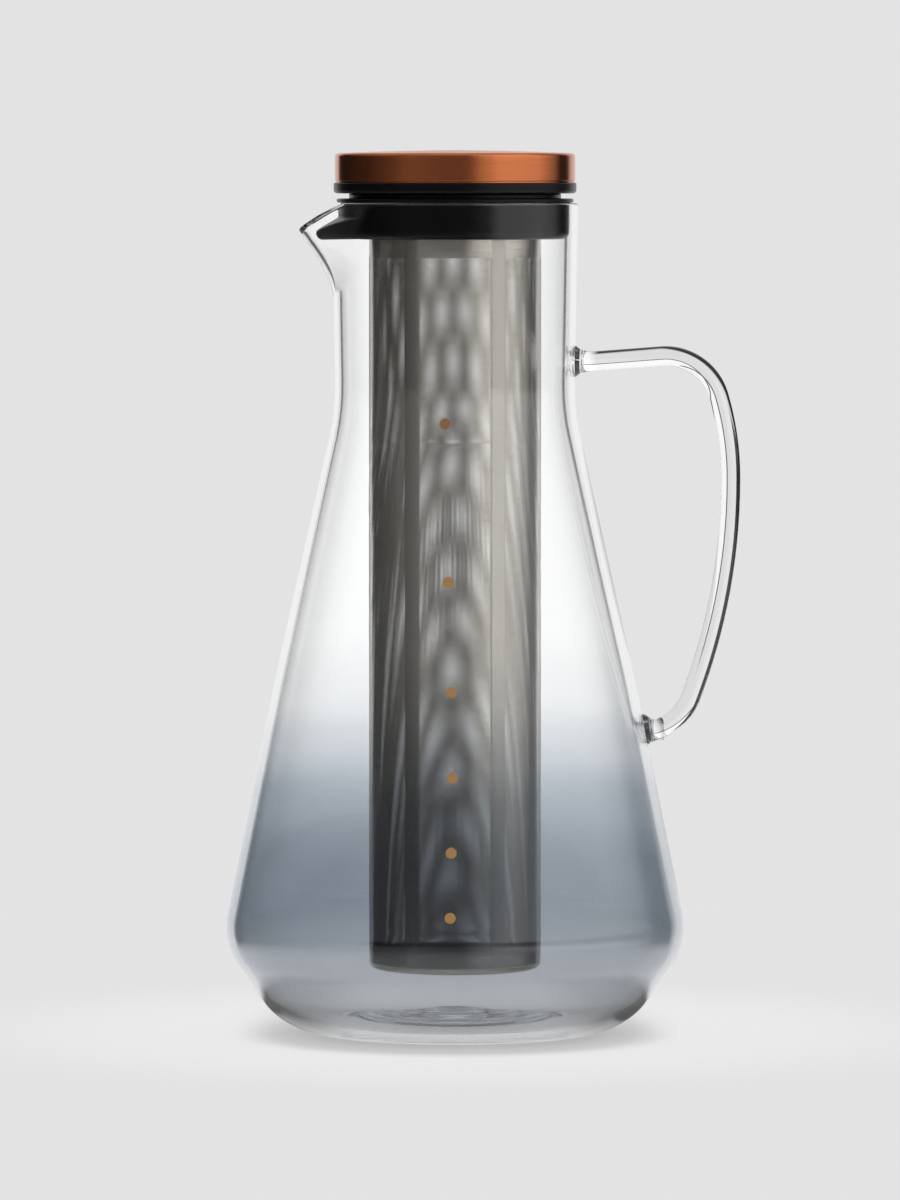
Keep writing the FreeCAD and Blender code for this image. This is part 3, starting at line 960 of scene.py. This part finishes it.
# %% Turn the screen
sheet = 0.16
field_bottom, field_top = screen_bottom + 3.6, 237.7
field_sink, field_border = 0.08, 0.1
field_turn = 60
column_count = 300
strip_columns = 8
screen = turned_piece("filter_screen_sheet", [
    (screen_radius - sheet, screen_bottom, 0),
    (screen_radius, screen_bottom, 0),
    (screen_radius, field_bottom, 0),
    (screen_radius, field_top, 0),
    (screen_radius, screen_top, 0),
    (screen_radius - sheet, screen_top, 0),
], sectors=((column_count, 360.0),))

# %% Press the fields in
def angle_of(point):
    """Angle about the axis from +X, from 0 to 360 degrees."""
    return math.degrees(math.atan2(point.y, point.x)) % 360


def select_faces(piece, wanted):
    """Selects the faces for which wanted(centre, normal) holds, and enters edit mode."""
    bpy.context.view_layer.objects.active = piece
    bpy.ops.object.mode_set(mode="EDIT")
    bpy.ops.mesh.select_mode(type="FACE")
    bpy.ops.mesh.select_all(action="DESELECT")
    bpy.ops.object.mode_set(mode="OBJECT")
    for face in piece.data.polygons:
        face.select = wanted(face.center / MM, face.normal)
    chosen = sum(face.select for face in piece.data.polygons)
    bpy.ops.object.mode_set(mode="EDIT")
    return chosen


strip_angle = strip_columns * 360 / column_count


def in_field(centre, normal):
    """True for the outer faces between the strips and between the plain bands."""
    away = Vector((centre.x, centre.y, 0)).dot(normal) > 0
    from_strip = (angle_of(centre) + field_turn / 2) % field_turn - field_turn / 2
    return away and field_bottom < centre.z < field_top and abs(from_strip) > strip_angle / 2


chosen = select_faces(screen, in_field)
bpy.ops.mesh.inset(thickness=field_border * MM, depth=-field_sink * MM, use_boundary=True)
bpy.ops.object.mode_set(mode="OBJECT")
place_piece(screen, "filter", "perforated_steel", "filter_screen")
print("field faces:", chosen)

# %% [markdown]
# ## The filter's ends
#
# A stamped ring hangs the screen from the collar, and a shallow pressed cup closes it
# below. Both are bent from thin sheet, so their outlines have an inside and an outside
# radius at each bend.

# %% Turn the rim ring and the base cup
ring_radius, ring_bottom, ring_top = read_ring("filter_rim")
ring_inner = screen_radius - 1.0
ring_outer = ring_inner + 0.6
rim_ring = turned_piece("filter_rim_ring", [
    (ring_inner, ring_bottom, 0.15),
    (ring_outer, ring_bottom, 0.15),
    (ring_outer, screen_top, 0.2),
    (ring_radius, screen_top, 0.3),
    (ring_radius, ring_top, 0.3),
    (ring_inner, ring_top, 0.6),
])
place_piece(rim_ring, "filter", "filter_steel", "filter_rim")

cup_radius, cup_bottom, cup_top = read_ring("filter_base_cap")
cup_sheet = 0.6
cup_middle = cup_bottom + 0.5
step_inner, step_outer = cup_radius - 7.0, cup_radius - 5.4
wall_inner, wall_outer = screen_radius - 1.0, screen_radius - 0.4
cup = turned_piece("filter_base_cup", [
    (0, cup_middle, 0),
    (step_inner, cup_middle, 3.0),
    (step_outer, cup_bottom, 3.0),
    (cup_radius, cup_bottom, 2.1),
    (cup_radius, screen_bottom, 0.1),
    (wall_outer, screen_bottom, 0.1),
    (wall_outer, cup_top, 0.1),
    (wall_inner, cup_top, 0.1),
    (wall_inner, cup_bottom + cup_sheet, 1.5),
    (step_outer, cup_bottom + cup_sheet, 3.0),
    (step_inner, cup_middle + cup_sheet, 3.0),
    (0, cup_middle + cup_sheet, 0),
], closed=False)
place_piece(cup, "filter", "filter_steel", "filter_base_cap")

# %% [markdown]
# ## The lid
#
# A copper-coloured cap is pressed over a black core and stands on a soft black ring. The
# cap is drawn from sheet: a faint crown on top, a small radius at the edge and a rolled
# hem below. The plug and its seals hide in the neck and keep their CAD shapes.

# %% Turn the cap and the gasket
cap_radius, cap_bottom, cap_top = read_ring("lid_cap")
cap_sheet = 0.6
cap_crown = 0.9
cap_edge = cap_top - cap_crown
hem_radius, hem_top, side_foot = cap_radius - 0.25, cap_bottom + 0.5, cap_bottom + 0.75
cap = turned_piece("lid_cap_drawn", [
    (0, cap_top, 0),
    (cap_radius * 0.55, cap_top - cap_crown * 0.3, 400.0),
    (cap_radius, cap_edge, 1.2),
    (cap_radius, side_foot, 0.25),
    (hem_radius, hem_top, 0.15),
    (hem_radius, cap_bottom, 0.12),
    (cap_radius - cap_sheet, cap_bottom, 0.12),
    (cap_radius - cap_sheet, cap_edge - cap_sheet, 0.6),
    (0, cap_top - cap_sheet, 0),
], closed=False, facet=10.0, sectors=((240, 360.0),))
place_piece(cap, "lid", "copper_steel", "lid_cap")

gasket_radius, gasket_bottom, gasket_top = read_ring("lid_gasket")
gasket_bore = 30.9
gasket = turned_piece("lid_gasket_soft", [
    (gasket_bore, gasket_bottom, 0.3),
    (gasket_radius, gasket_bottom, 1.0),
    (gasket_radius, gasket_top, 0.35),
    (gasket_bore, gasket_top, 0.2),
], sectors=((240, 360.0),))
place_piece(gasket, "lid", "black_silicone", "lid_gasket")

# %% [markdown]
# ## Polar coordinates for turned pieces
#
# Brushed lines and perforations run around the axis. A node group turns the object's own
# coordinates into the angle around the axis, in radians, and the distance from it and the
# height, in millimetres. Every turned finish below starts from it.

# %% Node group: around, out and up
def new_group(name, inputs, outputs):
    """A shader node group with named float inputs and outputs."""
    group = bpy.data.node_groups.new(name, "ShaderNodeTree")
    for label, value in inputs:
        socket = group.interface.new_socket(label, in_out="INPUT", socket_type="NodeSocketFloat")
        socket.default_value = value
    for label in outputs:
        group.interface.new_socket(label, in_out="OUTPUT", socket_type="NodeSocketFloat")
    entry, leave = (group.nodes.new("NodeGroup" + end) for end in ("Input", "Output"))
    return group, entry, leave


def diagonal(first, second):
    """The diagonal over two sides, as Pythagoras has it."""
    squares = [calculate("MULTIPLY", side, side) for side in (first, second)]
    return calculate("SQRT", calculate("ADD", *squares))


polar, entry, leave = new_group("polar_place", [], ["Around", "Out", "Up"])
_, axes = split_place(polar)
x_part, y_part, z_part = axes.outputs
link(calculate("ARCTAN2", y_part, x_part), leave.inputs["Around"])
out = diagonal(x_part, y_part)
link(calculate("MULTIPLY", out, 1 / MM), leave.inputs["Out"])
link(calculate("MULTIPLY", z_part, 1 / MM), leave.inputs["Up"])
print("group:", polar.name)

# %% [markdown]
# ## Brushed lines
#
# Brushing leaves fine scratches that follow the turning. Noise that is stretched many
# times around the piece and squeezed across it looks the same. The group gives the
# scratches as a height and a slower unevenness that the roughness can follow.

# %% Node group: brushed lines
def use_group(tree, group, **values):
    """A node of that group, with its inputs set."""
    node = add_node(tree, "Group", node_tree=group)
    for label, value in values.items():
        node.inputs[label.replace("_", " ")].default_value = value
    return node


def add_noise(vector, scale, detail, roughness=0.5):
    """A Noise Texture over a vector; its scale is a number or another node's output."""
    settings = {"Detail": detail, "Roughness": roughness}
    noise = add_node(tree_of(vector), "TexNoise", settings)
    feed(noise.inputs["Scale"], scale)
    link(vector, noise.inputs["Vector"])
    return noise.outputs["Fac"]


brushed, entry, leave = new_group(
    "brushed_lines", [("Density", 9.0), ("Length", 2.0), ("Unevenness", 0.4)],
    ["Lines", "Blotches"])
here = use_group(brushed, polar).outputs
across = calculate("ADD", here["Up"], here["Out"])
along = calculate("MULTIPLY", here["Around"], entry.outputs["Length"])
across_fine = calculate("MULTIPLY", across, entry.outputs["Density"])
line_place = add_node(brushed, "CombineXYZ")
link(along, line_place.inputs["X"])
link(across_fine, line_place.inputs["Y"])
link(add_noise(line_place.outputs[0], 1.0, 4.0, 0.65), leave.inputs["Lines"])
place = add_node(brushed, "TexCoord")
blotches = add_noise(place.outputs["Object"], 60.0, 3.0)
centred = calculate("SUBTRACT", blotches, 0.5)
uneven = calculate("MULTIPLY_ADD", centred, entry.outputs["Unevenness"], 0.5)
link(uneven, leave.inputs["Blotches"])
print("group:", brushed.name)

# %% [markdown]
# ## Copper-coloured cap
#
# The cap is steel with a copper-coloured plating, brushed around its side. Metals have no
# colour but their reflection, so the base colour is the colour of that reflection. The
# brushing makes the shine long and narrow, which the anisotropic setting gives, and a
# slight bump breaks it up into single scratches.

# %% Copper material
relief_depth = 0.02
scratch_spread = 0.12


def add_relief(height, strength, shader):
    """A fine bump on a shader, from a height between 0 and 1."""
    settings = {"Strength": strength, "Distance": relief_depth * MM}
    relief = add_node(tree_of(height), "Bump", settings)
    link(height, relief.inputs["Height"])
    link(relief.outputs[0], shader.inputs["Normal"])


def brushed_metal(name, colours, roughness, anisotropy, density, bump):
    """A brushed metal; colours are its darker and its lighter scratches."""
    material, tree, surface = new_material(name)
    scratches = use_group(tree, brushed, Density=density).outputs
    metal = add_node(tree, "BsdfPrincipled", {
        "Metallic": 1.0, "Anisotropic": anisotropy, "Anisotropic Rotation": 0.25})
    colour = colour_ramp(scratches["Lines"], [(0.3, colours[0]), (0.7, colours[1])])
    link(colour, metal.inputs["Base Color"])
    least = roughness - scratch_spread / 2
    spread = calculate("MULTIPLY_ADD", scratches["Blotches"], scratch_spread, least)
    link(spread, metal.inputs["Roughness"])
    add_relief(scratches["Lines"], bump, metal)
    tangent = add_node(tree, "Tangent", direction_type="RADIAL", axis="Z")
    link(tangent.outputs[0], metal.inputs["Tangent"])
    link(metal.outputs[0], surface)
    return material, tree, metal


copper, _, _ = brushed_metal(
    "copper_steel", ((0.46, 0.122, 0.042), (0.59, 0.195, 0.080)), 0.20, 0.85, 9.0, 0.4)
paint(copper, cap)
print("copper ready")

# %% [markdown]
# ## Steel and its holes
#
# The rim ring and the base cup are the same brushed steel as the screen. The holes are a
# mask that drives Alpha: a hexagonal lattice around the tube with a whole number of holes,
# so that it closes without a seam. Two such layers, the near and the far side of the tube,
# make the shimmering moire of a fine screen without any drawn pattern. The fields are a
# little lighter than the plain strips, and all of the screen has painted shade towards its
# foot, which stands deep in the smoky glass.

# %% Steel material
steel_colours = ((0.35, 0.33, 0.295), (0.50, 0.475, 0.43))
steel, _, _ = brushed_metal("filter_steel", steel_colours, 0.22, 0.85, 7.0, 0.5)
paint(steel, rim_ring, cup)
print("steel ready")

# %% Node group: hexagonal perforation
holes_around = 459
hole_pitch = 2 * math.pi * screen_radius / holes_around
row_pitch = hole_pitch * math.sqrt(3) / 2
hole_radius = 0.325 * hole_pitch
print("hole pitch %.3f mm, rows every %.3f mm" % (hole_pitch, row_pitch))

perforation, entry, leave = new_group("hexagonal_perforation", [], ["Hole", "Field"])
here = use_group(perforation, polar).outputs


def cell_place(value, share, pitch):
    """Distance from the middle of its cell, of a value counted in cells of that pitch."""
    within = calculate("FRACT", calculate("ADD", value, share))
    centred = calculate("SUBTRACT", within, 0.5)
    return calculate("MULTIPLY", centred, pitch)


around_cells = calculate("MULTIPLY", here["Around"], holes_around / (2 * math.pi))
up_cells = calculate("DIVIDE", here["Up"], 2 * row_pitch)
distances = [diagonal(
    cell_place(around_cells, share, hole_pitch),
    cell_place(up_cells, share, 2 * row_pitch)) for share in (0.0, 0.5)]
nearest = calculate("MINIMUM", *distances)
open_here = calculate("LESS_THAN", nearest, hole_radius)
print("two lattices of", holes_around, "holes around")

# %% Keep the holes inside the fields
strip_margin = 0.3
band_margin = 0.3
degrees_around = calculate("MULTIPLY", here["Around"], 180 / math.pi)
wrapped = calculate("WRAP", degrees_around, -field_turn / 2, field_turn / 2)
from_strip = calculate("ABSOLUTE", wrapped)
beside_strip = calculate("GREATER_THAN", from_strip, strip_angle / 2 + strip_margin)
above = calculate("GREATER_THAN", here["Up"], field_bottom + band_margin)
below = calculate("LESS_THAN", here["Up"], field_top - band_margin)
between_bands = calculate("MULTIPLY", above, below)
field_mask = calculate("MULTIPLY", between_bands, beside_strip)
link(field_mask, leave.inputs["Field"])
link(calculate("MULTIPLY", field_mask, open_here), leave.inputs["Hole"])
print("perforation nodes:", len(perforation.nodes))

# %% Perforated steel material
field_gain = 1.25
foot_shade = (45, 130, 0.62, 1.0)
screen_steel, tree, metal = brushed_metal("perforated_steel", steel_colours, 0.23, 0.85, 7.0, 0.4)
holes = use_group(tree, perforation)
plain = metal.inputs["Base Color"].links[0].from_socket
height = use_group(tree, polar).outputs["Up"]
field_tone_and_foot_shade = blend_colours(holes.outputs["Field"], grey(1.0), grey(field_gain))
# Painted shade: the screen's colour darkens towards its foot.
field_tone_and_foot_shade = blend_colours(1.0, field_tone_and_foot_shade, fade(height, *foot_shade), "MULTIPLY")
colour = blend_colours(1.0, plain, field_tone_and_foot_shade, "MULTIPLY")
link(colour, metal.inputs["Base Color"])
link(calculate("SUBTRACT", 1.0, holes.outputs["Hole"]), metal.inputs["Alpha"])
paint(screen_steel, screen)
print("screen steel from %g of its colour at its foot" % foot_shade[2])

# %% [markdown]
# ## Black silicone and black plastic
#
# Both are moulded, with the fine grain of the mould. Silicone is softer to look at: a
# little rougher, with faint dust that clings to it. A group makes grain and dust, and each
# material takes its own amount.

# %% Node group: moulded grain
dust_edge = (0.52, 0.74)
grain, entry, leave = new_group(
    "moulded_grain", [("Grain Size", 900.0), ("Dust Size", 140.0)], ["Grain", "Dust"])
place = add_node(grain, "TexCoord").outputs["Object"]
link(add_noise(place, entry.outputs["Grain Size"], 3.0, 0.6), leave.inputs["Grain"])
dust = add_noise(place, entry.outputs["Dust Size"], 5.0, 0.75)
link(fade(dust, *dust_edge), leave.inputs["Dust"])
print("group:", grain.name)

# %% Black materials
grain_spread = 0.14
most_dust = 0.6


def moulded(name, colours, dust_share, roughness, spread, bump, look, **sizes):
    """A material with fine grain, and a trace of dust in the second of two colours."""
    material, tree, surface = new_material(name)
    mould = use_group(tree, grain, **sizes).outputs
    body = add_node(tree, "BsdfPrincipled", look)
    dusty = calculate("MULTIPLY", mould["Dust"], dust_share)
    link(blend_colours(dusty, *colours), body.inputs["Base Color"])
    rough = calculate("MULTIPLY_ADD", mould["Grain"], spread, roughness - spread / 2)
    link(rough, body.inputs["Roughness"])
    add_relief(mould["Grain"], bump, body)
    link(body.outputs[0], surface)
    return material


def moulded_black(name, colours, roughness, bump, grain_size):
    """A moulded black."""
    look = {"IOR": 1.43, "Specular IOR Level": 0.22}
    return moulded(
        name, colours, most_dust, roughness, grain_spread, bump, look, Grain_Size=grain_size)


silicone = moulded_black("black_silicone", (grey(0.0012), grey(0.004)), 0.30, 0.3, 1500.0)
plastic = moulded_black("black_plastic", (grey(0.008), grey(0.02)), 0.36, 0.5, 900.0)
paint(silicone, collar, gasket)
print("blacks ready")

# %% Repaint the hidden CAD pieces of the lid
nodes = frame["nodes"]
paint(plastic, nodes["lid_core"], nodes["lid_liner"])
paint(silicone, nodes["lid_seal_upper"], nodes["lid_seal_lower"])
print("lid core, liner and seals repainted")

# %% [markdown]
# ## The level dots
#
# Six small rounds of gold-brown enamel mark the levels on the front. They are printed and
# fired, so they lie on the glass as a thin cushion with a soft edge. Each is a flattened
# ball, pushed against the wall at the place of its CAD dot and tilted as the wall is.

# %% Model one dot and copy it to its places
dot_thickness = 0.16
dots = []
for name in sorted(name for name in frame["nodes"] if name.startswith("level_dot")):
    low, high = (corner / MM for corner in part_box(name))
    middle = (low + high) / 2
    width = high.x - low.x
    radius = radius_at(outside, middle.z)
    lift = radius_at(outside, middle.z + 1) - radius_at(outside, middle.z - 1)
    tilt = math.atan2(lift, 2.0)
    spread = math.asin(middle.x / radius)
    start_fresh()
    bpy.ops.mesh.primitive_uv_sphere_add(segments=40, ring_count=20, radius=width / 2 * MM)
    dot = bpy.context.object
    dot.name = name.replace("level_dot", "enamel_dot")
    bpy.ops.object.mode_set(mode="EDIT")
    bpy.ops.transform.resize(value=(1, 1, dot_thickness / width))
    bpy.ops.object.mode_set(mode="OBJECT")
    lean = Matrix.Rotation(math.radians(90) + tilt, 4, "X")
    swing = Matrix.Rotation(spread, 4, "Z")
    front = -math.sqrt(radius ** 2 - middle.x ** 2)
    on_wall = Matrix.Translation(Vector((middle.x, front, middle.z)) * MM)
    dot.data.transform(on_wall @ swing @ lean)
    bpy.ops.object.shade_smooth()
    place_piece(dot, "carafe", "dot_enamel", name)
    dots.append(dot)
print("dots:", len(dots))

# %% [markdown]
# ## Fired enamel
#
# Enamel is coloured glass powder that melts on in the kiln. It stays a little uneven in
# colour and gloss, so it takes the same grain and dust as the moulded blacks, much finer.

# %% Enamel material
enamel = moulded(
    "dot_enamel", ((0.36, 0.19, 0.055), (0.28, 0.135, 0.035)), 1.0, 0.4, 0.2, 0.4, {"IOR": 1.5},
    Grain_Size=2500.0, Dust_Size=900.0)
paint(enamel, *dots)
print("enamel ready for", len(dots), "dots")

# %% [markdown]
# ## Light paths
#
# A ray to the far side of this jug crosses two walls, the screen and the dots, so it needs
# more bounces through glass and holes than a plain scene does.

# %% Allow deep glass
cycles = bpy.context.scene.cycles
cycles.max_bounces = 56
cycles.transmission_bounces = 48
cycles.glossy_bounces = 48
cycles.transparent_max_bounces = 32
print("bounces:", cycles.max_bounces)
